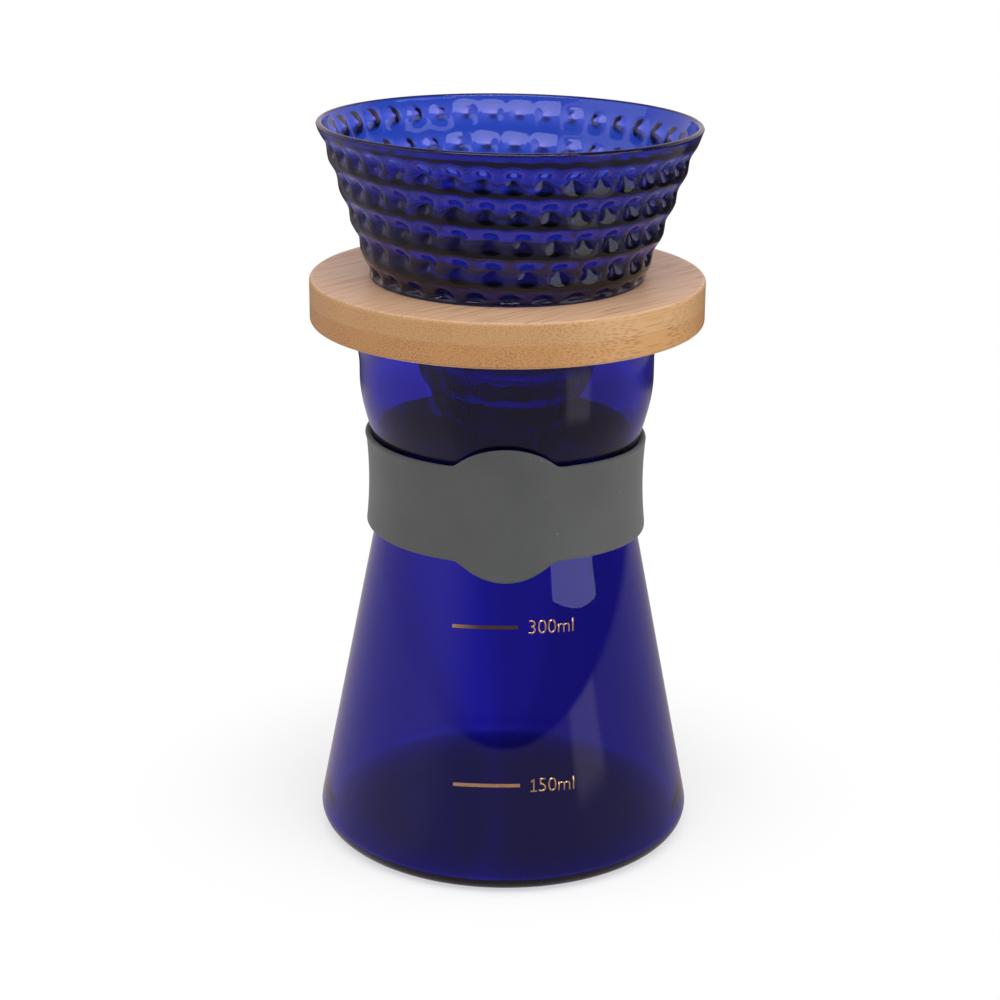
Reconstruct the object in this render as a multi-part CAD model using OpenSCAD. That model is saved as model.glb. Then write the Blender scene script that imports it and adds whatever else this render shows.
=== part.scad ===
// Pour-over coffee maker: a cobalt glass carafe with a silicone grip band and printed
// level marks, a two-ply bamboo collar on its rim, and a hobnail glass dripper in the collar.
// Millimetres. Origin on the base at the axis, +Z up, the marks and the badge face -Y.

/* [Carafe] */
// height from the table to the rim
carafe_h = 132.5; // [120:160]
// largest radius, at the heel
base_r = 47.1; // [42:55]
// radius of the rounded heel
heel_r = 6; // [4:9]
// outer radius of the waist under the grip band
waist_r = 31.25; // [28:36]
// height of the waist
waist_z = 92.5; // [84:98]
// height over which the cone curves into the waist
waist_blend = 12; // [6:20]
// outer radius of the neck
neck_r = 36.1; // [33:40]
// height of the upright neck with its lip
neck_h = 13.5; // [11:18]
// how far the lip flares out from the neck
lip_out = 1.3; // [0.5:3]
// height of the flared lip
lip_h = 9; // [6:12]
// glass wall of the carafe
carafe_wall = 2; // [1.6:3]
// glass floor of the carafe
floor_t = 3; // [2.5:4]
// width of the flat foot ring
foot_w = 5; // [3:10]
// height of the hollow under the floor
punt_h = 0.8; // [0.4:1.2]

/* [Pour lip] */
// inner radius of the pouring channel
spout_r = 8; // [6:10]
// how far the pour lip reaches beyond the rim
spout_reach = 2.6; // [2:4]
// lean of the pouring channel from upright
spout_lean = 24; // [20:28]

/* [Level marks] */
// height of the lower level line
mark_low_z = 26.8; // [20:35]
// height of the upper level line
mark_high_z = 64.8; // [55:70]
// height of a printed line
mark_line = 0.9; // [0.6:1.5]
// thickness of the print
mark_t = 0.15; // [0.1:0.3]
// length of a printed line
mark_len = 16; // [10:22]
// middle of the printed lines, to the side of the axis
mark_x = -4.4; // [-8:8]

/* [Grip band] */
// height of the band
band_h = 23.2; // [18:26]
// height of the band's middle
band_z = 93.4; // [88:96]
// thickness of the band at its middle
band_t = 2.5; // [1.8:3.5]
// thickness of the band at its top and bottom edges
band_edge_t = 1.6; // [1.2:2.4]
// radius of the round badge in front
badge_r = 16.5; // [14:18]

/* [Bamboo collar] */
// radius of the collar
collar_r = 48; // [44:54]
// thickness of one bamboo ply
ply_t = 5.4; // [4:7]
// rounding of the collar's outer edges
collar_round = 0.8; // [0.4:1.5]
// depth of the spigot in the carafe's mouth
spigot_h = 2.5; // [1.5:4]

/* [Dripper] */
// height of the rim above the collar
bowl_h = 37.1; // [32:42]
// outer radius of the rim
rim_r = 46; // [42:50]
// outer radius of the seat ring
seat_r = 33.4; // [33:36]
// height of the seat ring
seat_h = 0.8; // [0.6:1.6]
// width of the seat ring's flat that rests on the collar
seat_w = 1.2; // [0.9:2]
// depth of the cone below the collar
cone_h = 45; // [38:50]
// radius of the open outlet
outlet_r = 10; // [8:12]
// glass wall of the dripper
dripper_wall = 2; // [1.6:2.6]
// height of the plain band under the rim
rim_band = 4; // [3:5]

/* [Hobnail rows] */
// rows of hobnails from the rim down to the outlet
rows = 10; // [6:10]
// distance from one row to the next
row_pitch = 7.3; // [6:7.6]
// depth of the first row below the rim
row_first = 8.4; // [8:10]
// how far a row stands out
row_h = 1; // [0.6:1.3]

/* [Fits] */
// between the grip band and the glass
band_gap = 0.2; // [0.1:0.4]
// between the spigot and the mouth, all round
mouth_gap = 0.6; // [0.4:1]
// between the print and the glass
mark_gap = 0.03; // [0.02:0.05]
// between the dripper's cone and the collar's hole, at the top
hole_gap = 0.4; // [0.3:0.8]

/* [Hidden] */
$fn = 96;
// Least distance between two points of an outline, and how far a cut runs past its piece.
step_min = 0.3;
cut_over = 1;

// Slope of the cone between the heel's tangent point and the waist's curve.
slope_a = (base_r - waist_r) / (waist_z - waist_blend / 2 - heel_r);
lean_a = atan(slope_a);
cone_z = heel_r * (1 + sin(lean_a));
cone_r = base_r - heel_r * (1 - cos(lean_a));
slope = (cone_r - waist_r) / (waist_z - waist_blend / 2 - cone_z);
neck_z = carafe_h - neck_h;
lip_z = carafe_h - lip_h;
rim_out = neck_r + lip_out;
rim_in = rim_out - carafe_wall;

// Outer radius of the carafe's glass at a height above the heel.
function glass_r(z) =
    z < waist_z - waist_blend ? waist_r + slope * (waist_z - waist_blend / 2 - z)
    : z < waist_z ? waist_r + slope * pow(waist_z - z, 2) / (2 * waist_blend)
    : z < neck_z ? waist_r + (neck_r - waist_r) * (1 - cos(180 * (z - waist_z) / (neck_z - waist_z))) / 2
    : z < lip_z ? neck_r
    : neck_r + lip_out * pow((z - lip_z) / lip_h, 2);

// Heights at which the glass's outline bends, from the cone to the lip.
bend_z = concat(
    [for (i = [0:6]) waist_z - waist_blend * (1 - i / 6)],
    [for (i = [1:14]) waist_z + (neck_z - waist_z) * i / 14],
    [for (i = [0:6]) lip_z + lip_h * i / 6]);

collar_z = carafe_h;
collar_top = collar_z + 2 * ply_t;
hole_r = seat_r - seat_w;
cone_top_r = hole_r - hole_gap - row_h;
rim_z = collar_top + bowl_h;
bowl_r = seat_r - row_h;
outlet_z = collar_top - cone_h;
rim_round = 0.6;
// How far the pouring channel runs down inside the neck's wall.
spout_drop = (spout_reach + lip_out + 4 * carafe_wall) / tan(spout_lean);
band_lo = band_z - band_h / 2;
band_hi = band_z + band_h / 2;

// Turns a profile of radius and height about the axis.
module turned(points) {
    rotate_extrude($fn = 96) polygon(points);
}

// The outline of the glass, grown by a distance, between two heights.
function glass_line(lo, hi, grow) = concat(
    [[glass_r(lo) + grow, lo]],
    [for (z = bend_z) if (z > lo + step_min && z < hi - step_min) [glass_r(z) + grow, z]],
    [[glass_r(hi) + grow, hi]]);

function reversed(list) = [for (i = [len(list) - 1:-1:0]) list[i]];

// A round bar that leans out over the rim towards -X.
module spout_bar(r) {
    reach = rim_out + spout_reach - carafe_wall - spout_r / cos(spout_lean);
    intersection() {
        translate([-reach, 0, carafe_h]) rotate([0, -spout_lean, 0])
            cylinder(r = r, h = 4 * spout_drop, center = true);
        translate([-2 * rim_out, -rim_out, carafe_h - spout_drop])
            cube([2 * rim_out, 2 * rim_out, spout_drop]);
    }
}

// Borosilicate glass, blown: foot ring, cone, waist, neck, flared lip and one pour lip.
module carafe() {
    heel_in = heel_r - carafe_wall;
    difference() {
        union() {
            turned(concat(
                [[0, punt_h], [base_r - heel_r - foot_w - 4, punt_h], [base_r - heel_r - foot_w, 0]],
                [for (i = [0:8]) let (a = -90 + (90 + lean_a) * i / 8)
                    [base_r - heel_r + heel_r * cos(a), heel_r + heel_r * sin(a)]],
                glass_line(cone_z + 1, carafe_h - rim_round, 0),
                [[rim_out - rim_round, carafe_h], [0, carafe_h]]));
            spout_bar(spout_r + carafe_wall);
        }
        turned(concat(
            [[0, floor_t]],
            [for (i = [0:6]) let (a = -90 + (90 + lean_a) * i / 6)
                [base_r - heel_r + heel_in * cos(a), floor_t + heel_in + heel_in * sin(a)]],
            glass_line(floor_t + heel_in * (1 + sin(lean_a)) + 2, carafe_h - rim_round, -carafe_wall),
            [[rim_in + rim_round, carafe_h], [rim_in + rim_round, carafe_h + cut_over],
                [0, carafe_h + cut_over]]));
        translate([0, 0, 0.01]) spout_bar(spout_r);
    }
}

// Silicone: a sleeve in the waist that grows into a round badge in front.
module grip_band() {
    edge = 0.5;
    mid = band_gap + band_t;
    end = band_gap + band_edge_t;
    function out_r(z) = glass_r(z) + mid + (end - mid) * pow(abs(z - band_z) / (band_h / 2), 2);
    outer = [for (i = [0:12]) let (z = band_lo + edge + (band_h - 2 * edge) * i / 12) [out_r(z), z]];
    turned(concat(
        [[out_r(band_lo + edge) - edge, band_lo]], outer, [[out_r(band_hi - edge) - edge, band_hi]],
        reversed(glass_line(band_lo, band_hi, band_gap))));
    intersection() {
        translate([0, 0, band_z]) rotate([90, 0, 0]) cylinder(r = badge_r, h = base_r);
        turned(concat(
            glass_line(band_z - badge_r - 2, band_z + badge_r + 2, end),
            reversed(glass_line(band_z - badge_r - 2, band_z + badge_r + 2, band_gap))));
    }
}

// Bamboo: the lower ply with the spigot that centres the collar in the carafe's mouth.
module collar_bottom_ply() {
    spigot_r = glass_r(carafe_h - spigot_h) - carafe_wall - mouth_gap;
    difference() {
        union() {
            translate([0, 0, collar_z]) turned([[0, 0], [collar_r - collar_round, 0],
                [collar_r - 0.3 * collar_round, 0.3 * collar_round], [collar_r, collar_round],
                [collar_r, ply_t], [0, ply_t]]);
            translate([0, 0, collar_z - spigot_h]) cylinder(r = spigot_r, h = spigot_h + ply_t / 2);
        }
        translate([0, 0, collar_z - spigot_h - cut_over])
            cylinder(r = hole_r, h = spigot_h + ply_t + 2 * cut_over);
    }
}

// Bamboo: the upper ply, glued on, whose top carries the dripper.
module collar_top_ply() {
    difference() {
        translate([0, 0, collar_z + ply_t]) turned([[0, 0], [collar_r, 0],
            [collar_r, ply_t - collar_round],
            [collar_r - 0.3 * collar_round, ply_t - 0.3 * collar_round],
            [collar_r - collar_round, ply_t], [0, ply_t]]);
        translate([0, 0, collar_z]) cylinder(r = hole_r, h = 3 * ply_t);
    }
}

// Outer radius of the dripper's glass between the rows, above and below the collar.
function bowl_at(z) = bowl_r + (rim_r - row_h - bowl_r) * (z - collar_top) / bowl_h;
function cone_at(z) = outlet_r + dripper_wall
    + (cone_top_r - outlet_r - dripper_wall) * (z - outlet_z) / cone_h;

// The rows as one scalloped outline: heights below the rim, each with its rise above the plain glass.
row_steps = 8;
row_line = [for (row = [0:rows - 1]) for (i = [0:row_steps - 1]) let (t = i / row_steps - 0.5)
    [rim_z - row_first - row_pitch * (row + t), row_h * (1 - 4 * t * t)]];

// Moulded glass: the bowl with a plain rim and a seat ring, and the cone with its open outlet.
module dripper() {
    seat_z = collar_top + seat_h;
    plain_z = rim_z - rim_band;
    inner_rim = rim_r - dripper_wall;
    difference() {
        turned(concat(
            [[0, rim_z], [rim_r - rim_round, rim_z], [rim_r, rim_z - rim_round],
                [rim_r, rim_z - rim_band / 2], [bowl_at(plain_z), plain_z]],
            [for (p = row_line) if (p[0] < plain_z - step_min && p[0] > seat_z + step_min)
                [bowl_at(p[0]) + p[1], p[0]]],
            [[bowl_at(seat_z) + row_h / 2, seat_z], [seat_r, seat_z], [seat_r, collar_top],
                [cone_top_r, collar_top]],
            [for (p = row_line) if (p[0] < collar_top - step_min && p[0] > outlet_z + step_min)
                [cone_at(p[0]) + p[1], p[0]]],
            [[cone_at(outlet_z), outlet_z], [0, outlet_z]]));
        turned([[0, outlet_z - cut_over], [outlet_r, outlet_z - cut_over], [outlet_r, outlet_z],
            [cone_top_r - dripper_wall, collar_top], [inner_rim, rim_z - rim_round],
            [inner_rim + rim_round / 2, rim_z], [inner_rim + rim_round / 2, rim_z + cut_over],
            [0, rim_z + cut_over]]);
    }
}

// Fired gold print: a thin level line on the cone's front.
module level_line(z) {
    lo = z - mark_line / 2;
    hi = z + mark_line / 2;
    sweep = mark_len / glass_r(z) * 180 / PI;
    rotate([0, 0, asin(mark_x / glass_r(z)) - 90 - sweep / 2]) rotate_extrude(angle = sweep, $fn = 96)
        polygon([[glass_r(lo) + mark_gap, lo], [glass_r(lo) + mark_gap + mark_t, lo],
            [glass_r(hi) + mark_gap + mark_t, hi], [glass_r(hi) + mark_gap, hi]]);
}

// Gold print: the lower level line.
module mark_150ml() {
    level_line(mark_low_z);
}

// Gold print: the upper level line.
module mark_300ml() {
    level_line(mark_high_z);
}

carafe();
grip_band();
collar_bottom_ply();
collar_top_ply();
dripper();
mark_150ml();
mark_300ml();
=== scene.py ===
import math

import bpy
import numpy as np
from mathutils import Matrix


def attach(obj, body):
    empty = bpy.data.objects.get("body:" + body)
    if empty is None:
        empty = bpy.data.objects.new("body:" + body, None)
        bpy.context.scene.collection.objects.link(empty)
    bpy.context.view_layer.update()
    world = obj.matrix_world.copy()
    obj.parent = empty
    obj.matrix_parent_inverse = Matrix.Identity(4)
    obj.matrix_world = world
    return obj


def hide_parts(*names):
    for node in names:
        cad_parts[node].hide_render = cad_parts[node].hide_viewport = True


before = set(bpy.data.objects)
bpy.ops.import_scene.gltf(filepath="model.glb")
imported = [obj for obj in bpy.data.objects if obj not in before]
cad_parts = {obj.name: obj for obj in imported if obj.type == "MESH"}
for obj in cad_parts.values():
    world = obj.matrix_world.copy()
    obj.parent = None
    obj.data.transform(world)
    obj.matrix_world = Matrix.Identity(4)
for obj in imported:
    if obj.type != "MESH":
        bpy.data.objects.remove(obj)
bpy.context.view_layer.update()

# CARAFE
# Cobalt borosilicate glass, blown in a turned mould: a flat foot with a shallow hollow, a rounded heel,
# a cone, a waist, an upright neck and a fire-polished lip with one pour lip pulled out on the left.
MM = 0.001
CARAFE_H, BASE_R, HEEL_R = 132.5, 47.1, 5.0
WAIST_R, WAIST_Z, WAIST_BLEND = 31.25, 92.5, 12.0
NECK_R, NECK_Z, LIP_OUT, LIP_H = 36.1, 119.0, 1.3, 9.0
LIP_Z, LIP_ROUND, LIP_IN = 131.5, 0.99, 0.95
CARAFE_WALL, FLOOR_T, FLOOR_R, CORNER_R, CORNER_AT = 2.0, 3.0, 42.5, 1.3, 43.4
HOLLOW_R, HOLLOW_H = 37.0, 0.8
MOULD_RING_R, MOULD_RING_W, MOULD_RING_H = 2.3, 0.7, 0.22
SPOUT_REACH, SPOUT_Z, SPOUT_WIDE, SPOUT_CURL, SPOUT_DIP = 2.5, 121.0, 13.0, 1.7, 0.25
STRAIGHT_TO, CURVED_FROM, WALL_TOP, WALL_FOOT = 78.0, 79.0, 131.4, 9.6
blend_z = WAIST_Z - WAIST_BLEND / 2
cone_lean = math.atan((BASE_R - WAIST_R) / (blend_z - HEEL_R))
cone_z = HEEL_R * (1 + math.sin(cone_lean))
cone_slope = (BASE_R - HEEL_R * (1 - math.cos(cone_lean)) - WAIST_R) / (blend_z - cone_z)


def share_of(value, length):
    """How far along a length a value is, from 0 to 1."""
    return np.clip(value / length, 0, 1)


def glass_r(z):
    """Outer radius of the carafe at a height above its heel, in millimetres."""
    z = np.asarray(z, float)
    cone = WAIST_R + cone_slope * (blend_z - z)
    bend = WAIST_R + cone_slope * (WAIST_Z - z) ** 2 / (2 * WAIST_BLEND)
    rise = share_of(z - WAIST_Z, NECK_Z - WAIST_Z)
    neck = WAIST_R + (NECK_R - WAIST_R) * (1 - np.cos(np.pi * rise)) / 2
    lip = LIP_OUT * share_of(z - CARAFE_H + LIP_H, LIP_H) ** 2
    return np.where(z < WAIST_Z - WAIST_BLEND, cone, np.where(z < WAIST_Z, bend, neck)) + lip


def arc(centre, radius, start, end, count):
    """Points of a round corner in the outline, from one angle to another in degrees."""
    turn = np.radians(np.linspace(start, end, count))
    return [(centre[0] + radius * math.cos(t), centre[1] + radius * math.sin(t)) for t in turn]


def spun(name, outline, steps):
    """Draws an outline of radius and height in millimetres, point by point, and spins it about the axis."""
    bpy.ops.object.select_all(action="DESELECT")
    bpy.ops.mesh.primitive_plane_add(size=MM)
    piece = bpy.context.object
    piece.name = piece.data.name = name
    bpy.ops.object.mode_set(mode="EDIT")
    bpy.ops.mesh.select_all(action="SELECT")
    bpy.ops.mesh.merge(type="CENTER")
    bpy.ops.transform.translate(value=(outline[0][0] * MM, 0, outline[0][1] * MM))
    for a, b in zip(outline, outline[1:]):
        step = ((b[0] - a[0]) * MM, 0, (b[1] - a[1]) * MM)
        bpy.ops.mesh.extrude_region_move(TRANSFORM_OT_translate={"value": step})
    bpy.ops.mesh.select_all(action="SELECT")
    bpy.ops.mesh.spin(steps=steps, angle=2 * math.pi, center=(0, 0, 0), axis=(0, 0, 1))
    bpy.ops.mesh.select_all(action="SELECT")
    bpy.ops.mesh.remove_doubles(threshold=2e-6)
    bpy.ops.mesh.normals_make_consistent(inside=False)
    bpy.ops.object.mode_set(mode="OBJECT")
    bpy.ops.object.shade_smooth()
    return piece


def points_of(piece):
    """The piece's points in millimetres."""
    flat = np.empty(len(piece.data.vertices) * 3, np.float32)
    piece.data.vertices.foreach_get("co", flat)
    return flat.reshape(-1, 3).astype(float) / MM


def move_points(piece, points):
    """Puts the piece's points at these places in millimetres."""
    piece.data.vertices.foreach_set("co", (points * MM).astype(np.float32).ravel())
    piece.data.update()


# The wall is straight up the cone and needs few points there. Above, where it bends, they lie closer.
rising = np.concatenate([np.linspace(cone_z, STRAIGHT_TO, 26), np.linspace(CURVED_FROM, WALL_TOP, 60)])
falling = np.concatenate([np.linspace(WALL_TOP, CURVED_FROM, 60), np.linspace(STRAIGHT_TO, WALL_FOOT, 26)])
carafe = spun("carafe_glass", (
    [(r, HOLLOW_H * (1 - (r / HOLLOW_R) ** 2)) for r in np.linspace(0, HOLLOW_R, 12)]
    + arc((BASE_R - HEEL_R, HEEL_R), HEEL_R, -90, math.degrees(cone_lean), 18)
    + [(float(glass_r(z)), z) for z in rising[1:]]
    + arc((float(glass_r(LIP_Z)) - LIP_IN, LIP_Z), LIP_ROUND, 8, 172, 9)
    + [(float(glass_r(z)) - CARAFE_WALL, z) for z in falling]
    + arc((CORNER_AT, FLOOR_T + CORNER_R), CORNER_R, math.degrees(cone_lean), -90, 8)
    + [(r, FLOOR_T + MOULD_RING_H * math.exp(-(((r - MOULD_RING_R) / MOULD_RING_W) ** 2)))
       for r in np.linspace(FLOOR_R, 0, 42)]), steps=200)
points = points_of(carafe)
turn = np.degrees(np.arctan2(points[:, 1], -points[:, 0]))
lift = share_of(points[:, 2] - SPOUT_Z, CARAFE_H - SPOUT_Z)
pull = SPOUT_REACH * lift**SPOUT_CURL * np.exp(-((turn / SPOUT_WIDE) ** 2))
points[:, 0] -= pull
points[:, 2] -= SPOUT_DIP * pull
move_points(carafe, points)


def node(tree, kind, inputs=None, **settings):
    """Adds one shader node with its settings and the values or links of its inputs."""
    made = tree.nodes.new(kind)
    for key, value in settings.items():
        setattr(made, key, value)
    for key, value in (inputs or {}).items():
        if isinstance(value, bpy.types.NodeSocket):
            tree.links.new(value, made.inputs[key])
        else:
            made.inputs[key].default_value = value
    return made


def ramp(tree, value, stops):
    """Adds a colour ramp with these places and greys or colours."""
    made = node(tree, "ShaderNodeValToRGB", {"Fac": value})
    band = made.color_ramp.elements
    while len(band) < len(stops):
        band.new(1.0)
    for element, (place, colour) in zip(band, stops):
        element.position = place
        element.color = (*colour, 1) if isinstance(colour, tuple) else (colour, colour, colour, 1)
    return made.outputs["Color"]


def maths(tree, operation, a, b=0.0):
    """One sum on two values or links."""
    return node(tree, "ShaderNodeMath", {0: a, 1: b}, operation=operation).outputs["Value"]


def spread(tree, value, low, high, start=0.0, end=1.0):
    """Leads a value softly from one range to another."""
    limits = {"Value": value, "From Min": low, "From Max": high, "To Min": start, "To Max": end}
    return node(tree, "ShaderNodeMapRange", limits, interpolation_type="SMOOTHSTEP").outputs["Result"]


def mixed(tree, share, a, b, kind="FLOAT", blend="MIX"):
    """Mixes two values or colours by a share."""
    made = node(tree, "ShaderNodeMix", {"Factor": share, "A": a, "B": b}, data_type=kind, blend_type=blend)
    return made.outputs["Result"]


def noise(tree, place, scale, detail):
    """A plain noise at a scale per metre."""
    made = node(tree, "ShaderNodeTexNoise", {"Vector": place, "Scale": scale, "Detail": detail})
    return made.outputs["Fac"]


def relief(tree, shader, height, strength, distance):
    """Gives a shader small relief from a height."""
    bump = node(tree, "ShaderNodeBump", {"Height": height, "Strength": strength, "Distance": distance})
    tree.links.new(bump.outputs["Normal"], shader.inputs["Normal"])


def new_group(name, inputs, outputs):
    """A node group with these sockets, and what comes out of its input node."""
    made = bpy.data.node_groups.new(name, "ShaderNodeTree")
    for way, sockets in (("INPUT", inputs), ("OUTPUT", outputs)):
        for socket, kind in sockets.items():
            made.interface.new_socket(socket, in_out=way, socket_type=kind)
    return made, node(made, "NodeGroupInput").outputs


def new_material(name):
    """An empty node material: its tree and its Principled shader, already joined to the output."""
    made = bpy.data.materials.new(name)
    made.use_nodes = True
    tree = made.node_tree
    tree.nodes.clear()
    shader = node(tree, "ShaderNodeBsdfPrincipled")
    node(tree, "ShaderNodeOutputMaterial", {"Surface": shader.outputs["BSDF"]}, name="Material Output")
    return made, tree, shader


# Blown and pressed glass is never quite even: slow cords run through its tint and its skin.
COLOUR, VALUE = "NodeSocketColor", "NodeSocketFloat"
CORD_DRAW, SKIN_WAVE, GLASS_IOR = (1, 1, 0.25), 0.4 * MM, 1.47
melt, given = new_group(
    "glass_cords", {"Thin": COLOUR, "Thick": COLOUR, "Size": VALUE}, {"Tint": COLOUR, "Skin": VALUE})
place = node(melt, "ShaderNodeTexCoord").outputs["Object"]
drawn = node(melt, "ShaderNodeMapping", {"Vector": place, "Scale": CORD_DRAW}).outputs["Vector"]
cords = noise(melt, drawn, given["Size"], 2.0)
tint = mixed(melt, cords, given["Thin"], given["Thick"], "RGBA")
node(melt, "NodeGroupOutput", {"Tint": tint, "Skin": cords})


def cobalt_glass(name, thin, thick, size, ripple, passes, depth, clear):
    """Cobalt glass with its cords, tinted at its skin and darker the more glass the light goes through."""
    made, tree, shader = new_material(name)
    group = node(tree, "ShaderNodeGroup", node_tree=melt)
    group.inputs["Thin"].default_value = (*thin, 1)
    group.inputs["Thick"].default_value = (*thick, 1)
    group.inputs["Size"].default_value = size
    tree.links.new(group.outputs["Tint"], shader.inputs["Base Color"])
    relief(tree, shader, group.outputs["Skin"], ripple, SKIN_WAVE)
    shader.inputs["Roughness"].default_value = 0.0
    shader.inputs["IOR"].default_value = GLASS_IOR
    shader.inputs["Transmission Weight"].default_value = clear
    soak = node(tree, "ShaderNodeVolumeAbsorption", {"Color": (*passes, 1), "Density": depth})
    tree.links.new(soak.outputs["Volume"], tree.nodes["Material Output"].inputs["Volume"])
    return made, tree, shader


blown, tree, shader = cobalt_glass(
    "cobalt_blown_glass", thin=(0.6, 0.62, 0.95), thick=(0.54, 0.56, 0.93), size=16.0, ripple=0.12,
    passes=(0.41, 0.36, 0.954), depth=1000, clear=1.0)
carafe.data.materials.append(blown)
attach(carafe, "carafe")
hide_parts("carafe")

# LEVEL MARKS
# Gold fired on the outside of the cone: a line and its figure in millilitres at each level.
# The print is a thin skin that follows the glass, with a fine grain in its colour and its gleam.
PRINT_T, PRINT_LIFT, PRINT_MIDDLE, CONE_REACH = 0.12, 0.03, 1.7, 211.0
LINE_W, FIGURE_H, FIGURE_THIN = 0.84, 3.3, -0.009
ONE_W, ONE_FLAG_W, ONE_STEM, ONE_FOOT, ONE_FLAG, ONE_STEP = 0.34, 0.36, 0.95, 0.8, 0.75, 2.2
ONE_TOP, FLAG_LOW, FLAG_HIGH = 0.93, 0.73, 0.88
gold, tree, shader = new_material("fired_gold_print")
place = node(tree, "ShaderNodeTexCoord").outputs["Object"]
grain = noise(tree, place, 2200.0, 2.0)
golds = ramp(tree, grain, [(0.3, (0.85, 0.52, 0.24)), (0.75, (0.98, 0.64, 0.32))])
tree.links.new(golds, shader.inputs["Base Color"])
tree.links.new(ramp(tree, grain, [(0.3, 0.13), (0.7, 0.06)]), shader.inputs["Roughness"])
shader.inputs["Metallic"].default_value = 1.0


def on_cone(along, up, lift):
    """A point of the print on the glass: the print is straight, so its ends fall below a level circle."""
    up = up - (along - PRINT_MIDDLE) ** 2 / (2 * CONE_REACH)
    turn = along / glass_r(up)
    radius = glass_r(up) + lift
    return np.column_stack([radius * np.sin(turn), -radius * np.cos(turn), up])


def bar(a, b, width, cuts):
    """A printed stroke from one point to another, flat, in millimetres."""
    bpy.ops.object.select_all(action="DESELECT")
    bpy.ops.mesh.primitive_grid_add(x_subdivisions=cuts, y_subdivisions=1, size=1)
    made = bpy.context.object
    flat = points_of(made) * MM
    along = np.array(b, float) - np.array(a, float)
    across = np.array([-along[1], along[0]]) / np.hypot(*along) * width
    spot = np.array(a) + np.outer(flat[:, 0] + 0.5, along) + np.outer(flat[:, 1], across)
    move_points(made, np.column_stack([spot, np.zeros(len(spot))]))
    return made


def figure_one(left, foot):
    """The strokes of a 1 with a flag and a foot: its stem, its foot and its flag."""
    stem, low = left + ONE_STEM, foot + ONE_W / 2
    flag_low, flag_high = foot + FLAG_LOW * FIGURE_H, foot + FLAG_HIGH * FIGURE_H
    return [bar((stem, foot), (stem, foot + ONE_TOP * FIGURE_H), ONE_W, 1),
            bar((stem - ONE_FOOT, low), (stem + ONE_FOOT, low), ONE_W, 3),
            bar((stem - ONE_FLAG, flag_low), (stem, flag_high), ONE_FLAG_W, 2)]


def print_mark(name, words, level, line_from, line_to, words_from, replaced):
    """One level mark: a line, then its figure, wrapped on the cone and given the print's thickness."""
    strokes = [bar((line_from, level), (line_to, level), LINE_W, 32)]
    foot = level - FIGURE_H / 2
    if words[0] == "1":
        strokes += figure_one(words_from, foot)
        words, words_from = words[1:], words_from + ONE_STEP
    bpy.ops.object.select_all(action="DESELECT")
    bpy.ops.object.text_add()
    figure = bpy.context.object
    figure.data.body = words
    figure.data.resolution_u = 6
    figure.data.offset = FIGURE_THIN
    bpy.ops.object.convert(target="MESH")
    figure = bpy.context.object
    flat = points_of(figure) * MM
    flat *= FIGURE_H / (flat[:, 1].max() - flat[:, 1].min())
    flat[:, 0] += words_from - flat[:, 0].min()
    flat[:, 1] += foot - flat[:, 1].min()
    move_points(figure, flat)
    for stroke in strokes:
        stroke.select_set(True)
    bpy.context.view_layer.objects.active = figure
    bpy.ops.object.join()
    figure.name = figure.data.name = name
    flat = points_of(figure)
    move_points(figure, on_cone(flat[:, 0], flat[:, 1], PRINT_LIFT))
    bpy.ops.object.mode_set(mode="EDIT")
    bpy.ops.mesh.select_all(action="SELECT")
    bpy.ops.mesh.remove_doubles(threshold=1e-6)
    bpy.ops.object.mode_set(mode="OBJECT")
    figure.data.materials.clear()
    figure.data.materials.append(gold)
    skin = figure.modifiers.new("print", "SOLIDIFY")
    skin.thickness, skin.offset = PRINT_T * MM, 1.0
    bpy.ops.object.modifier_apply(modifier=skin.name)
    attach(figure, "carafe")
    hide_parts(replaced)


print_mark("mark_300ml_print", "300ml", 65.3, -12.8, 3.2, 5.8, "mark_300ml")
print_mark("mark_150ml_print", "150ml", 27.3, -12.3, 4.0, 6.4, "mark_150ml")

# GRIP BAND
# Matte grey silicone, moulded as one ring and stretched into the waist, where it sags a little on the right.
# In front it grows into a round bare badge, flush with it, with small fillets where the two outlines meet.
BAND_Z, BAND_H, BAND_R, BAND_WALL = 92.6, 23.75, 34.6, 1.6
WAISTED_R, FLARE, FLARE_H, LEAST_T = 34.05, 0.65, 11.6, 1.75
BAND_GAP, MOUTH_GAP, MOUTH_FROM = 0.12, 0.08, 0.6
BADGE_R, BADGE_RISE, BADGE_FILLET, BADGE_AT_R = 16.85, 0.32, 0.45, 34.5
SAG, SAG_FROM = 1.2, 0.35
band_lo, band_hi, edge = BAND_Z - BAND_H / 2, BAND_Z + BAND_H / 2, BAND_WALL / 2
band = spun("grip_band_silicone", (
    [(BAND_R, z) for z in np.linspace(band_lo + edge, band_hi - edge, 34)]
    + arc((BAND_R - edge, band_hi - edge), edge, 15, 165, 9)
    + [(BAND_R - BAND_WALL, z) for z in np.linspace(band_hi - edge, band_lo + edge, 34)]
    + arc((BAND_R - edge, band_lo + edge), edge, 195, 345, 9)
    + [(BAND_R, band_lo + edge)]), steps=360)
points = points_of(band)
turn = np.arctan2(points[:, 0], -points[:, 1])
in_front = np.cos(turn) > 0.5
reach = BADGE_AT_R * np.sin(turn)
share = (points[:, 2] - BAND_Z) / (BAND_H / 2)
lobe = np.sqrt(np.clip(BADGE_R**2 - reach**2, 0, None)) - BAND_H / 2 + BADGE_RISE * share
grow = BADGE_FILLET * np.log1p(np.exp(np.clip(lobe / BADGE_FILLET, -30, 30)))
inward = share_of(BAND_R - np.hypot(points[:, 0], points[:, 1]), BAND_WALL)
sag = SAG * share_of(np.sin(turn) - SAG_FROM, 1 - SAG_FROM) ** 2
points[:, 2] += share * np.where(in_front, grow, 0) - sag
up = points[:, 2]
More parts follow.
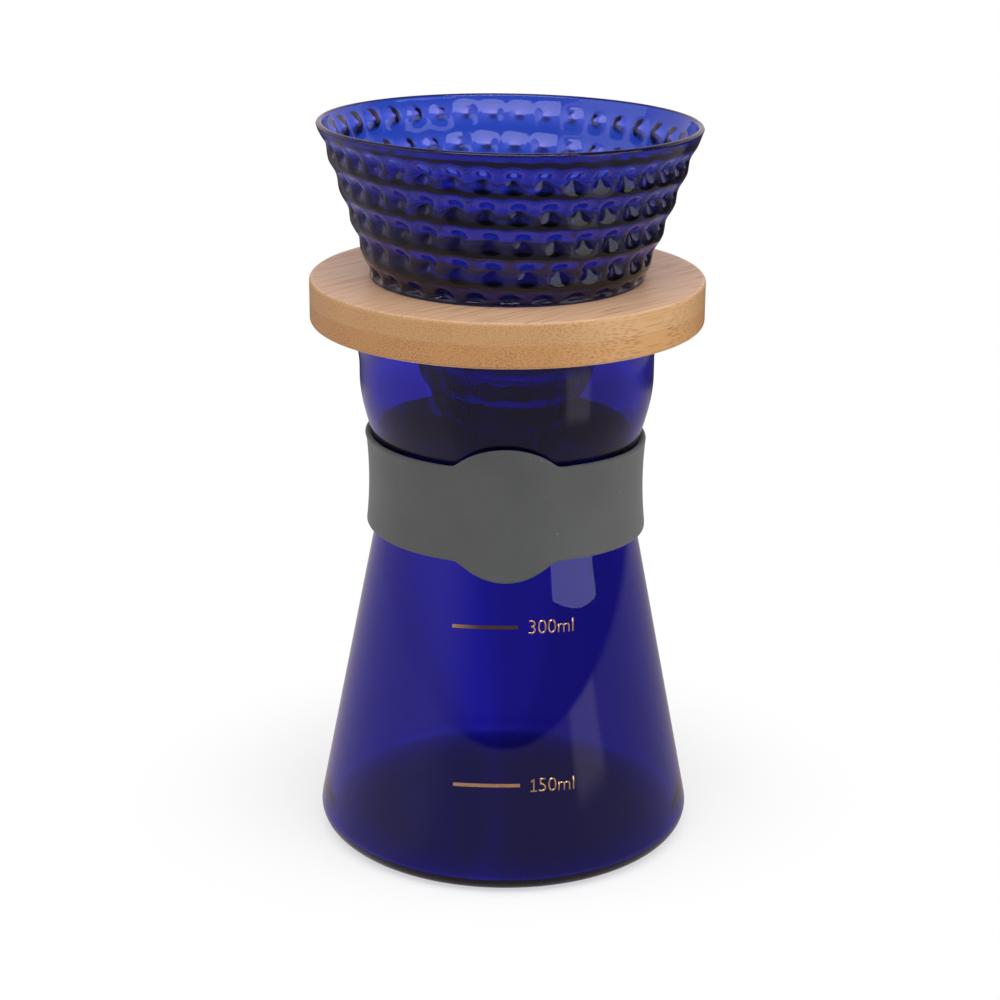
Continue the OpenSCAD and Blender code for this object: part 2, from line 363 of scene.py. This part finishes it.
waisted = WAISTED_R + FLARE * share_of(np.abs(up - BAND_Z), FLARE_H) ** 2
outer = np.maximum(waisted, glass_r(up) + LEAST_T)
inner = glass_r(up) + BAND_GAP + MOUTH_GAP * share_of(share - MOUTH_FROM, 1 - MOUTH_FROM) ** 2
radius = outer + (inner - outer) * inward
points[:, 0], points[:, 1] = radius * np.sin(turn), -radius * np.cos(turn)
move_points(band, points)

# The silicone is matte with fine pores, and a little dust and lint lies on it.
LINT_GREY, PORE_DEPTH = (0.3, 0.3, 0.3, 1), 0.2 * MM
silicone, tree, shader = new_material("grey_silicone")
place = node(tree, "ShaderNodeTexCoord").outputs["Object"]
dust = noise(tree, place, 60.0, 6.0)
pores = noise(tree, place, 2600.0, 1.0)
greys = ramp(tree, dust, [(0.3, (0.064, 0.066, 0.067)), (0.72, (0.078, 0.08, 0.08))])
lint = node(tree, "ShaderNodeTexVoronoi", {"Vector": place, "Scale": 300.0}).outputs["Distance"]
lint = ramp(tree, lint, [(0.03, 0.5), (0.06, 0.0)])
tree.links.new(mixed(tree, lint, greys, LINT_GREY, "RGBA"), shader.inputs["Base Color"])
tree.links.new(ramp(tree, pores, [(0.3, 0.52), (0.7, 0.66)]), shader.inputs["Roughness"])
relief(tree, shader, pores, 0.12, PORE_DEPTH)
shader.inputs["Specular IOR Level"].default_value = 0.32
shader.inputs["Sheen Weight"].default_value = 0.18
band.data.materials.append(silicone)
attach(band, "carafe")
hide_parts("grip_band")

# BAMBOO COLLAR, LOWER PLY
# Laminated bamboo board turned on a lathe. The lower ply carries the spigot that centres the collar
# in the carafe's mouth, and its lower edge is rounded.
COLLAR_R, PLY_T, HOLE_R, SPIGOT_R, SPIGOT_H = 48.0, 5.4, 32.2, 34.1, 2.5
SOFT, CHAMFER, GLUE_SOFT, GLUE_CLEAR, SMOOTH_TO = 0.9, 0.3, 0.12, 0.6, math.radians(40)
FLAT_RINGS, UNDER_RINGS = (36, 40, 44), (45, 41, 37)
ply_z, spigot_z, glue_z = CARAFE_H, CARAFE_H - SPIGOT_H, CARAFE_H + PLY_T
lower_ply = spun("collar_lower_ply", (
    [(HOLE_R, z) for z in np.linspace(spigot_z + CHAMFER, glue_z, 6)]
    + [(r, glue_z) for r in FLAT_RINGS]
    + arc((COLLAR_R - GLUE_SOFT, glue_z - GLUE_SOFT), GLUE_SOFT, 90, 0, 4)
    + [(COLLAR_R, z) for z in np.linspace(glue_z - GLUE_CLEAR, ply_z + SOFT + CHAMFER, 6)]
    + arc((COLLAR_R - SOFT, ply_z + SOFT), SOFT, 0, -90, 8)
    + [(r, ply_z) for r in UNDER_RINGS]
    + [(SPIGOT_R, ply_z), (SPIGOT_R, spigot_z + CHAMFER), (SPIGOT_R - CHAMFER, spigot_z),
       (HOLE_R + CHAMFER, spigot_z), (HOLE_R, spigot_z + CHAMFER)]), steps=240)
bpy.ops.object.shade_smooth_by_angle(angle=SMOOTH_TO)

# Bamboo: long fibre bundles along one direction. On a face across them they are brown dots in a darker
# ground, on a face along them short dashes, and on the sanded top fine reddish streaks.
# The top's lighter, pinker ground is partly the sanded face's own colour and partly painted sheen of the
# light from above.
FIBRE_TURN, VECTOR = (0, 0, math.radians(-45)), "NodeSocketVector"
END_TINT, TONE_TINT, BUNDLE_SIZE = (0.85, 0.8, 0.75, 1), (0.9, 0.84, 0.78, 1), 1800.0
bamboo, given = new_group(
    "bamboo_fibres", {"Ground": COLOUR, "Top_with_sheen": COLOUR, "Bundle": COLOUR, "Shift": VECTOR, "Dots": VALUE},
    {"Color": COLOUR, "Gloss": VALUE, "Relief": VALUE})
coords = node(bamboo, "ShaderNodeTexCoord").outputs
moved = node(bamboo, "ShaderNodeVectorMath", {0: coords["Object"], 1: given["Shift"]}).outputs["Vector"]
laid = node(bamboo, "ShaderNodeMapping", {"Vector": moved, "Rotation": FIBRE_TURN}).outputs["Vector"]
skin = node(bamboo, "ShaderNodeMapping", {"Vector": coords["Normal"], "Rotation": FIBRE_TURN})
facing = node(bamboo, "ShaderNodeSeparateXYZ", {"Vector": skin.outputs["Vector"]}).outputs
top = spread(bamboo, maths(bamboo, "ABSOLUTE", facing["Z"]), 0.6, 0.95)
ends = spread(bamboo, maths(bamboo, "ABSOLUTE", facing["X"]), 0.1, 0.6)


def stretched(along):
    """The fibre-wise place, stretched so that a pattern runs along the fibres."""
    return node(bamboo, "ShaderNodeMapping", {"Vector": laid, "Scale": (along, 1, 1)}).outputs["Vector"]


cut = node(bamboo, "ShaderNodeSeparateXYZ", {"Vector": laid}).outputs
cut = node(bamboo, "ShaderNodeCombineXYZ", {"X": cut["Y"], "Y": cut["Z"]}).outputs["Vector"]
bundles = node(bamboo, "ShaderNodeTexVoronoi", {"Vector": cut, "Scale": BUNDLE_SIZE, "Randomness": 0.85},
               voronoi_dimensions="2D")
dots = ramp(bamboo, bundles.outputs["Distance"], [(0.1, 1.0), (0.38, 0.0)])
dense = spread(bamboo, noise(bamboo, stretched(0.12), 130.0, 2.0), 0.35, 0.65, 0.45, 1.0)
dark = maths(bamboo, "MULTIPLY", maths(bamboo, "MULTIPLY", dots, dense), given["Dots"])
dark = maths(bamboo, "MULTIPLY", dark, mixed(bamboo, top, 1.0, 0.25))
streaks = spread(bamboo, noise(bamboo, stretched(0.06), 1300.0, 3.0), 0.45, 0.72)
dark = maths(bamboo, "ADD", dark, maths(bamboo, "MULTIPLY", streaks, mixed(bamboo, top, 0.1, 0.42)))
tone = noise(bamboo, stretched(0.15), 55.0, 3.0)
ground = mixed(bamboo, ends, given["Ground"], END_TINT, "RGBA", "MULTIPLY")
# Upward faces take the top's ground, which holds painted sheen.
ground = mixed(bamboo, top, ground, given["Top_with_sheen"], "RGBA")
ground = mixed(bamboo, tone, ground, TONE_TINT, "RGBA", "MULTIPLY")
grain = mixed(bamboo, dark, ground, given["Bundle"], "RGBA")
gloss = spread(bamboo, dark, 0.0, 1.0, 0.42, 0.6)
node(bamboo, "NodeGroupOutput", {"Color": grain, "Gloss": gloss, "Relief": dark})

# The top's ground: the sanded face's colour with painted sheen of the light from above.
BAMBOO_TOP_WITH_SHEEN, FIBRE_DEPTH = (0.74, 0.48, 0.31), -0.2 * MM


def bamboo_ply(name, ground, bundle, shift, dots):
    """One ply's bamboo with its own colours and its own cut through the fibres."""
    made, tree, shader = new_material(name)
    group = node(tree, "ShaderNodeGroup", node_tree=bamboo)
    group.inputs["Ground"].default_value = (*ground, 1)
    group.inputs["Top_with_sheen"].default_value = (*BAMBOO_TOP_WITH_SHEEN, 1)
    group.inputs["Bundle"].default_value = (*bundle, 1)
    group.inputs["Shift"].default_value = shift
    group.inputs["Dots"].default_value = dots
    tree.links.new(group.outputs["Color"], shader.inputs["Base Color"])
    tree.links.new(group.outputs["Gloss"], shader.inputs["Roughness"])
    relief(tree, shader, group.outputs["Relief"], 0.15, FIBRE_DEPTH)
    return made


lower_ply.data.materials.append(bamboo_ply(
    "bamboo_lower", ground=(0.55, 0.3, 0.115), bundle=(0.2, 0.075, 0.022),
    shift=(0.013, 0.021, 0.007), dots=0.8))
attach(lower_ply, "collar")
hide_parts("collar_bottom_ply")

# BAMBOO COLLAR, UPPER PLY
# The second ply, glued on with its fibres the same way. The glue line shows as a hair at half height,
# and the dripper's seat ring rests on the ply's sanded top.
HOLE_SOFT = 0.4
top_z = glue_z + PLY_T
upper_ply = spun("collar_upper_ply", (
    [(HOLE_R, z) for z in np.linspace(glue_z, top_z - HOLE_SOFT, 6)]
    + arc((HOLE_R + HOLE_SOFT, top_z - HOLE_SOFT), HOLE_SOFT, 180, 90, 5)
    + [(r, top_z) for r in FLAT_RINGS]
    + arc((COLLAR_R - SOFT, top_z - SOFT), SOFT, 90, 0, 8)
    + [(COLLAR_R, z) for z in np.linspace(top_z - SOFT - CHAMFER, glue_z + GLUE_CLEAR, 6)]
    + arc((COLLAR_R - GLUE_SOFT, glue_z + GLUE_SOFT), GLUE_SOFT, 0, -90, 4)
    + [(r, glue_z) for r in (*reversed(FLAT_RINGS), HOLE_R)]), steps=240)
bpy.ops.object.shade_smooth_by_angle(angle=SMOOTH_TO)
upper_ply.data.materials.append(bamboo_ply(
    "bamboo_upper", ground=(0.575, 0.35, 0.158), bundle=(0.27, 0.11, 0.04), shift=(0, 0, 0), dots=0.65))
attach(upper_ply, "collar")
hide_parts("collar_top_ply")

# DRIPPER
# Cobalt glass blown in a mould: a thin fire-polished rim, then rings of pea-sized dimples, a little
# askew, that stand out as bumps inside, a low seat ring at the collar, and a cone with an open outlet.
RIM_R, RIM_Z, RIM_WALL = 46.4, 180.4, 1.5
SEAT_R, SEAT_Z, SEAT_WALL, SEAT_BLEND = 33.4, 143.3, 2.2, 6.0
SEAT_UNDER, SEAT_SOFT, SEAT_SWELL, SEAT_OVER, SEAT_IN = 0.15, 0.25, 0.05, 0.6, 1.5
CONE_TOP_R, OUTLET_R, OUTLET_Z, OUTLET_SOFT, OUTLET_EDGE = 31.7, 10.0, 98.3, 0.3, 0.4
outlet_out = OUTLET_R + SEAT_WALL
rim_top = RIM_Z - RIM_WALL / 2


def bowl_r(z):
    """Outer radius of the dripper on the ridges between its dimples, in millimetres."""
    z = np.asarray(z, float)
    bowl = SEAT_R + (RIM_R - SEAT_R) * (z - SEAT_Z) / (RIM_Z - SEAT_Z)
    cone = outlet_out + (CONE_TOP_R - outlet_out) * (z - OUTLET_Z) / (SEAT_Z - OUTLET_Z)
    return np.where(z >= SEAT_Z, bowl, cone)


def bowl_in(z):
    """Inner radius of the dripper between its bumps, in millimetres."""
    z = np.asarray(z, float)
    wall = SEAT_WALL + (RIM_WALL - SEAT_WALL) * share_of(z - SEAT_Z, RIM_Z - SEAT_Z)
    step = (SEAT_R - CONE_TOP_R) * np.clip(1 - (z - SEAT_Z) / SEAT_BLEND, 0, 1)
    return bowl_r(z) - wall - np.where(z >= SEAT_Z, step, 0)


dripper = spun("dripper_dimpled_glass", (
    [(OUTLET_R + OUTLET_SOFT, OUTLET_Z), (outlet_out - OUTLET_EDGE, OUTLET_Z)]
    + [(float(bowl_r(z)), z) for z in np.linspace(OUTLET_Z + OUTLET_EDGE, SEAT_Z - SEAT_UNDER, 26)]
    + [(SEAT_R - SEAT_SOFT, SEAT_Z), (SEAT_R + SEAT_SWELL, SEAT_Z + SEAT_SOFT)]
    + [(float(bowl_r(z)), z) for z in np.linspace(SEAT_Z + SEAT_OVER, rim_top, 98)]
    + arc((float(bowl_r(rim_top)) - RIM_WALL / 2, rim_top), RIM_WALL / 2, 15, 165, 7)
    + [(float(bowl_in(z)), z) for z in np.linspace(rim_top, SEAT_Z, 50)]
    + [(float(bowl_in(z)), z) for z in np.linspace(SEAT_Z - SEAT_IN, OUTLET_Z + OUTLET_SOFT, 20)]
    + [(OUTLET_R + OUTLET_SOFT, OUTLET_Z)]), steps=440)

# The dimples: each ring has its own number of them and its own start. They are shallower in the saddles
# between two neighbours, have a deeper eye outside, and fade out at the rim, the seat and the outlet.
RING_Z, RING_PITCH, ASKEW_X, ASKEW_Y = 174.25, 7.43, 0.95, 0.9
RING_DIMPLES = np.array([39, 35, 32, 28, 26, 24, 22, 20, 18, 16, 14])
RING_START = np.array([1.3, 3.2, 5.1, 7.3, 1.0, 4.0, 2.0, 5.0, 1.0, 3.0, 0.0])
DIMPLE, SADDLE, SADDLE_IN, BUMP_SHARE = 1.7, 0.65, 0.92, 0.56
EYE, EYE_TALL, EYE_WIDE = 0.42, 0.12, 0.2
RIM_PLAIN, RIM_FADE, OUTLET_PLAIN, OUTLET_FADE = 180.0, 2, 3, 3
SEAT_MIDDLE, SEAT_PLAIN, SEAT_FADE = 0.1, 0.15, 0.6
points = points_of(dripper)
radius, up = np.hypot(points[:, 0], points[:, 1]), points[:, 2]
turn = np.degrees(np.arctan2(points[:, 0], -points[:, 1]))
inside = radius < (bowl_r(up) + bowl_in(up)) / 2
askew = ASKEW_X * np.sin(np.radians(turn)) + ASKEW_Y * np.cos(np.radians(turn))
height = (RING_Z - askew - up) / RING_PITCH
ring = np.clip(np.round(height), 0, len(RING_DIMPLES) - 1).astype(int)
phase = RING_DIMPLES[ring] * (turn - RING_START[ring]) / 360
aside = np.sin(np.pi * (phase - np.round(phase)))
saddle = np.where(inside, SADDLE_IN * np.abs(aside) ** 3, SADDLE * aside**2)
above = ring - height
dent = np.where(np.abs(above) < 0.5, np.cos(np.pi * above) ** 2 * (1 - saddle), 0)
eye = np.exp(-((above / EYE_TALL) ** 2) - ((phase - np.round(phase)) / EYE_WIDE) ** 2)
dent += np.where(inside, 0, EYE / DIMPLE * eye)
dent *= share_of(RIM_PLAIN - up, RIM_FADE) * share_of(up - OUTLET_Z - OUTLET_PLAIN, OUTLET_FADE)
dent *= share_of(np.abs(up - SEAT_Z - SEAT_MIDDLE) - SEAT_PLAIN, SEAT_FADE)
push = DIMPLE * dent * np.where(inside, BUMP_SHARE, 1.0)
bowl_slant = math.atan((RIM_R - SEAT_R) / (RIM_Z - SEAT_Z))
cone_slant = math.atan((CONE_TOP_R - outlet_out) / (SEAT_Z - OUTLET_Z))
slant = np.where(up >= SEAT_Z, bowl_slant, cone_slant)
grown = radius - push * np.cos(slant)
points[:, 0] *= grown / radius
points[:, 1] *= grown / radius
points[:, 2] += push * np.sin(slant)

# The bowl leans a little to the right and to the back. The lean sets in above the seat.
LEAN_X, LEAN_Y, LEAN_BLEND = 0.0094, 0.015, 10
rise = np.clip(points[:, 2] - SEAT_Z, 0, None)
ease = share_of(rise, LEAN_BLEND)
points[:, 2] -= ease * (LEAN_X * points[:, 0] + LEAN_Y * points[:, 1])
points[:, 0] += ease * LEAN_X * rise
points[:, 1] += ease * LEAN_Y * rise
move_points(dripper, points)

# A ridge's lower slope bends the light away and looks dark from outside, so these slopes are painted.
SLOPE_AT, SLOPE_DIP, SLOPE_HALF, SLOPE_SOFT = -0.38, 0.06, 0.14, 0.05
SLOPE_TOP, SLOPE_TOP_FADE, SLOPE_FOOT, SLOPE_FOOT_FADE = 179.6, 0.6, 1, 1.0
SLOPE_DARK = (0.0004, 0.0004, 0.001, 1)
middle = SLOPE_AT - SLOPE_DIP * aside**2
beside = np.abs((above - middle + 0.5) % 1 - 0.5)
ridge = share_of(SLOPE_HALF - beside, SLOPE_SOFT)
ridge *= share_of(SLOPE_TOP - up, SLOPE_TOP_FADE) * share_of(up - SEAT_Z - SLOPE_FOOT, SLOPE_FOOT_FADE)
ridge[inside] = 0
fill = dripper.data.attributes.new("ridge", "FLOAT", "POINT")
fill.data.foreach_set("value", ridge.astype(np.float32))
hobnail, tree, shader = cobalt_glass(
    "cobalt_hobnail_glass", thin=(0.27, 0.22, 0.88), thick=(0.23, 0.19, 0.82), size=22.0, ripple=0.1,
    passes=(0.08, 0.59, 0.794), depth=1750, clear=0.982)
ridges = node(tree, "ShaderNodeAttribute", attribute_name="ridge").outputs["Fac"]
outside = maths(tree, "SUBTRACT", 1.0, node(tree, "ShaderNodeNewGeometry").outputs["Backfacing"])
tint = shader.inputs["Base Color"].links[0].from_socket
shade = mixed(tree, maths(tree, "MULTIPLY", ridges, outside), tint, SLOPE_DARK, "RGBA")
tree.links.new(shade, shader.inputs["Base Color"])
dripper.data.materials.append(hobnail)
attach(dripper, "dripper")
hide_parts("dripper")

# TABLE, LIGHT AND CAMERA
# A pale table that is white as far as one sees, under one large soft box in front, a window on the right, a
# card on the left and two side fills that the glass doesn't show. Above the white backdrop the room is dark.
TABLE_SIZE, TABLE_DROP, TABLE_GREY = 6, 0.05 * MM, (0.92, 0.92, 0.92, 1)
SHADOW_NEAR, SHADOW_FAR, SHADOW_WHITE = 0.047, 0.11, 0.55
FRONT_LEVEL, SUN_SIDE, REACH_MIDDLE = 0.36, (0.82, -0.57, 0), (0, -0.25, 0)
WHITE, MIRROR_HUE = (1, 1, 1, 1), (1.0, 0.87, 0.96, 1)


def measure(tree, operation, a, b=(0, 0, 0)):
    """A length, a distance or a share of direction of one or two vectors."""
    return node(tree, "ShaderNodeVectorMath", {0: a, 1: b}, operation=operation).outputs["Value"]


def room_light(tree, side):
    """What gloss shows of the dim room, brighter on the left."""
    return spread(tree, side, -0.85, -0.28, 0.46, 0.06)


bpy.ops.object.select_all(action="DESELECT")
bpy.ops.mesh.primitive_plane_add(size=TABLE_SIZE, location=(0, 0, -TABLE_DROP))
table = bpy.context.object
table.name = "table"
pale, tree, shader = new_material("pale_table")
shader.inputs["Base Color"].default_value = TABLE_GREY
shader.inputs["Roughness"].default_value = 0.9
shader.inputs["Specular IOR Level"].default_value = 0.0
path = node(tree, "ShaderNodeLightPath").outputs
place = node(tree, "ShaderNodeTexCoord").outputs["Object"]
away = measure(tree, "LENGTH", place)
spot = node(tree, "ShaderNodeVectorMath", {0: place}, operation="NORMALIZE").outputs["Vector"]
where = node(tree, "ShaderNodeSeparateXYZ", {"Vector": spot}).outputs

# Gloss sees painted light on the table: darker in front, a sunlit streak on the right and, past the table,
# the room.
sides = spread(tree, where["X"], -0.5, 0.6, 0.52, 0.4)
mirrored = mixed(tree, spread(tree, where["Y"], -0.88, -0.6), FRONT_LEVEL, sides)
sunlit = spread(tree, measure(tree, "DOT_PRODUCT", spot, SUN_SIDE), 0.975, 0.992)
sunlit = maths(tree, "MULTIPLY", sunlit, spread(tree, away, 0.2, 0.32))
mirrored = mixed(tree, sunlit, mirrored, 1.0)
past = spread(tree, measure(tree, "DISTANCE", place, REACH_MIDDLE), 0.57, 0.66)
mirrored = mixed(tree, past, mirrored, room_light(tree, where["X"]))

# Through the glass the table shows painted shade: a painted shadow under the foot, painted light uneven from
# left to right, and white far behind.
behind = spread(tree, where["Y"], 0.2, 0.6)
beyond = maths(tree, "MULTIPLY", spread(tree, away, 0.4, 0.6, 0.0, 0.74), behind)
left_end = spread(tree, where["X"], -0.1, 0.02, 1, 0)
left = maths(tree, "MULTIPLY", spread(tree, where["X"], -0.26, -0.14, 0, 0.4), left_end)
lateral = maths(tree, "ADD", spread(tree, where["X"], 0.08, 0.15, 1.08, 0.86), left)
# The painted shadow under the foot.
below = maths(tree, "MULTIPLY", spread(tree, away, 0.03, 0.055, 0.065, 0.26), lateral)
below = maths(tree, "ADD", below, beyond)

# Seen straight on, the table keeps some of its real shadow near the foot and is plain white further out.
clear = spread(tree, away, SHADOW_NEAR, SHADOW_FAR, SHADOW_WHITE, 1.0)
bounced = maths(tree, "MAXIMUM", path["Is Glossy Ray"], path["Is Transmission Ray"])
share = mixed(tree, path["Is Camera Ray"], bounced, clear)
level = mixed(tree, path["Is Transmission Ray"], mirrored, below)
level = mixed(tree, path["Is Camera Ray"], level, 1.0)
hue = mixed(tree, path["Is Glossy Ray"], WHITE, MIRROR_HUE, "RGBA")
glow = node(tree, "ShaderNodeEmission", {"Color": hue, "Strength": level})
cover = node(tree, "ShaderNodeMixShader", {0: share, 1: shader.outputs["BSDF"], 2: glow.outputs["Emission"]})
tree.links.new(cover.outputs["Shader"], tree.nodes["Material Output"].inputs["Surface"])
table.data.materials.append(pale)

# The world is white to the camera, an even light to matte surfaces, and backdrop and room to the glass.
MATTE_LEVEL, BACKDROP_LEVEL = 0.54, 0.8
world = bpy.data.worlds.new("studio")
bpy.context.scene.world = world
world.use_nodes = True
tree = world.node_tree
tree.nodes.clear()
path = node(tree, "ShaderNodeLightPath").outputs
toward = node(tree, "ShaderNodeTexCoord").outputs["Generated"]
aim = node(tree, "ShaderNodeSeparateXYZ", {"Vector": toward}).outputs
backdrop = spread(tree, aim["Z"], 0.06, 0.2, 1.0, 0.03)
backdrop = maths(tree, "MULTIPLY", backdrop, spread(tree, aim["Y"], 0.2, 0.6, 0.2, 1.0))
mirrored = mixed(tree, spread(tree, aim["Y"], 0.1, 0.4), room_light(tree, aim["X"]), BACKDROP_LEVEL)
mirrored = maths(tree, "MULTIPLY", mirrored, spread(tree, aim["Z"], 0.35, 0.7, 1.0, 0.4))
level = mixed(tree, path["Is Glossy Ray"], MATTE_LEVEL, mirrored)
level = mixed(tree, path["Is Transmission Ray"], level, backdrop)
level = mixed(tree, path["Is Camera Ray"], level, 1.0)
hue = mixed(tree, path["Is Glossy Ray"], WHITE, MIRROR_HUE, "RGBA")
sky = node(tree, "ShaderNodeBackground", {"Color": hue, "Strength": level})
node(tree, "ShaderNodeOutputWorld", {"Surface": sky.outputs["Background"]})

AIM_Z = 0.09


def soft_box(name, azimuth, elevation, distance, width, height, power, roll=0.0, shiny=True):
    """A soft box that faces the object's middle. One that isn't shiny stays out of the glass."""
    bpy.ops.object.light_add(type="AREA")
    box = bpy.context.object
    box.name = name
    box.data.shape, box.data.size, box.data.size_y, box.data.energy = "RECTANGLE", width, height, power
    a, e = math.radians(azimuth), math.radians(elevation)
    back = Matrix.Rotation(a, 3, "Z") @ Matrix.Rotation(-e, 3, "X")
    box.location = back.col[1] * -distance
    box.location.z += AIM_Z
    box.visible_glossy = box.visible_transmission = shiny
    turned = Matrix((back.col[0], back.col[2], -back.col[1])).transposed()
    box.rotation_euler = (turned @ Matrix.Rotation(math.radians(roll), 3, "Z")).to_euler()


soft_box("front_box", 0, 60, 1.0, 1.1, 0.65, 6.2)
soft_box("window", 59, 14.6, 0.6, 0.45, 0.404, 0.86, roll=-5.7)
soft_box("left_card", -75, 34, 1.0, 0.9, 0.6, 1.3)
soft_box("left_fill", -85, 30, 1.0, 0.9, 0.6, 0.5, shiny=False)
soft_box("right_fill", 85, 48, 1.0, 0.9, 0.6, 1.1, shiny=False)

# The camera stands in front and above, and looks down at the object.
DISTANCE, HEIGHT, PITCH, ROLL, YAW = 0.56828, 0.27788, 0.3265, 0.0072, -0.0025
LENS, SENSOR = 86.33, 36.0
bpy.ops.object.camera_add()
camera = bpy.context.object
camera.data.lens, camera.data.sensor_width = LENS, SENSOR
stand = (0, -DISTANCE, HEIGHT)
ahead = np.array([math.sin(YAW) * math.cos(PITCH), math.cos(YAW) * math.cos(PITCH), -math.sin(PITCH)])
right = np.array([math.cos(YAW), -math.sin(YAW), 0])
over = np.cross(right, ahead)
side = math.cos(ROLL) * right + math.sin(ROLL) * over
crown = -math.sin(ROLL) * right + math.cos(ROLL) * over
rows = [[side[i], crown[i], -ahead[i], stand[i]] for i in range(3)]
camera.matrix_world = Matrix(rows + [[0, 0, 0, 1]])
camera.data.clip_start, camera.data.clip_end = 0.01, 50
bpy.context.scene.camera = camera
bpy.context.scene.view_settings.view_transform = "Standard"
